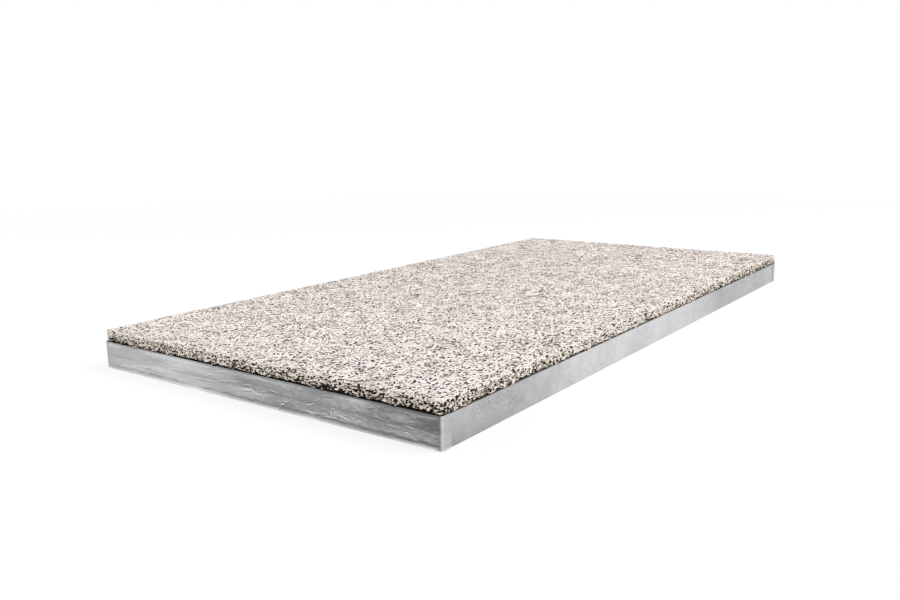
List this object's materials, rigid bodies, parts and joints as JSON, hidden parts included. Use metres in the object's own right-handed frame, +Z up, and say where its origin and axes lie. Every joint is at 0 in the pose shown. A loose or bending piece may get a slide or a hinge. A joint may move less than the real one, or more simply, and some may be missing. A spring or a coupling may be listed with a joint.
{
  "type": "laminated insulation board",
  "caption": "Flat rectangular insulation board: a foil-faced rigid foam core with a wood wool cement slab glued on its upper face.",
  "frame": {"origin": "centre of the underside of the lower foil facer", "axes": "+Z up through the thickness to the wood wool face, +Y along the length, +X across the width"},
  "size_m": [0.6, 1.2, 0.0568],
  "materials": {
    "wood_wool": "coarse matt cement-bound wood wool with open pores",
    "foil": "satin aluminium foil facer, creased at the ends",
    "foam": "fine closed-cell rigid foam, cut face",
    "adhesive": "cured polyurethane adhesive bead"
  },
  "bodies": {
    "root": {"wood_wool_slab": "wood_wool", "adhesive_bead_1": "adhesive", "adhesive_bead_2": "adhesive", "adhesive_bead_3": "adhesive", "adhesive_bead_4": "adhesive", "adhesive_bead_5": "adhesive", "adhesive_bead_6": "adhesive", "upper_foil": "foil", "foam_core": "foam", "lower_foil": "foil", "end_foil_front": "foil", "end_foil_back": "foil"}
  },
  "joints": []
}
